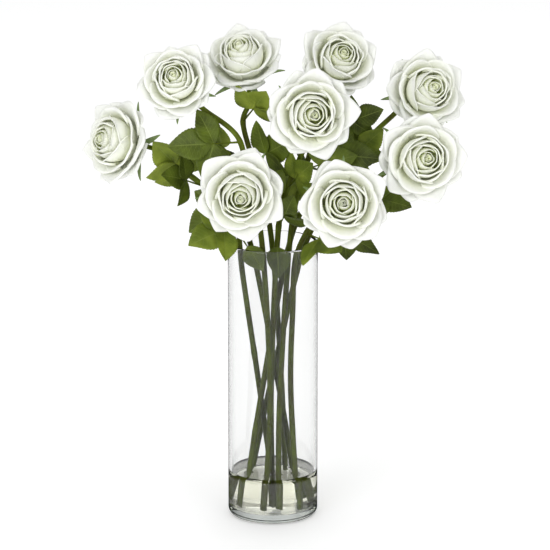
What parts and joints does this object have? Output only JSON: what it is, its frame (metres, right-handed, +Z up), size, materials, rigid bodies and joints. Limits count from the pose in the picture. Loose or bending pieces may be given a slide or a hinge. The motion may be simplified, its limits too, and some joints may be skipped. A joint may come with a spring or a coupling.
{
  "type": "glass cylinder vase with artificial roses",
  "caption": "Tall clear glass cylinder vase with a heavy base, holding long-stemmed artificial white roses that are cast into a puddle of clear resin in place of water.",
  "frame": {"origin": "centre of the vase's flat underside, on the plane it stands on", "axes": "+Z up along the vase's axis; -Y towards the front, which most flowers face; +X to the right seen from the front"},
  "size_m": [0.4288, 0.2305, 0.5522],
  "materials": {
    "clear_glass": "polished clear soda-lime glass",
    "clear_resin": "clear cast resin with a very slight yellow-green tint",
    "wire_steel": "plain drawn steel wire",
    "stem_green": "moulded olive-green stem, satin",
    "calyx_green": "moulded mid-green calyx, satin",
    "petal_white": "soft matt white fabric, faint yellow-green in the folds",
    "leaf_green": "printed dark-green fabric with moulded veins"
  },
  "bodies": {
    "root": {"vase_glass": "clear_glass", "cast_resin_water": "clear_resin", "stem_wires": "wire_steel", "rose_1_stem": "stem_green", "rose_1_calyx": "calyx_green", "rose_1_outer_petals": "petal_white", "rose_1_middle_petals": "petal_white", "rose_1_inner_petals": "petal_white", "rose_1_leaves": "leaf_green", "rose_2_stem": "stem_green", "rose_2_calyx": "calyx_green", "rose_2_outer_petals": "petal_white", "rose_2_middle_petals": "petal_white", "rose_2_inner_petals": "petal_white", "rose_2_leaves": "leaf_green", "rose_3_stem": "stem_green", "rose_3_calyx": "calyx_green", "rose_3_outer_petals": "petal_white", "rose_3_middle_petals": "petal_white", "rose_3_inner_petals": "petal_white", "rose_3_leaves": "leaf_green", "rose_4_stem": "stem_green", "rose_4_calyx": "calyx_green", "rose_4_outer_petals": "petal_white", "rose_4_middle_petals": "petal_white", "rose_4_inner_petals": "petal_white", "rose_4_leaves": "leaf_green", "rose_5_stem": "stem_green", "rose_5_calyx": "calyx_green", "rose_5_outer_petals": "petal_white", "rose_5_middle_petals": "petal_white", "rose_5_inner_petals": "petal_white", "rose_5_leaves": "leaf_green", "rose_6_stem": "stem_green", "rose_6_calyx": "calyx_green", "rose_6_outer_petals": "petal_white", "rose_6_middle_petals": "petal_white", "rose_6_inner_petals": "petal_white", "rose_6_leaves": "leaf_green", "rose_7_stem": "stem_green", "rose_7_calyx": "calyx_green", "rose_7_outer_petals": "petal_white", "rose_7_middle_petals": "petal_white", "rose_7_inner_petals": "petal_white", "rose_7_leaves": "leaf_green", "rose_8_stem": "stem_green", "rose_8_calyx": "calyx_green", "rose_8_outer_petals": "petal_white", "rose_8_middle_petals": "petal_white", "rose_8_inner_petals": "petal_white", "rose_8_leaves": "leaf_green", "rose_9_stem": "stem_green", "rose_9_calyx": "calyx_green", "rose_9_outer_petals": "petal_white", "rose_9_middle_petals": "petal_white", "rose_9_inner_petals": "petal_white", "rose_9_leaves": "leaf_green"}
  },
  "joints": []
}
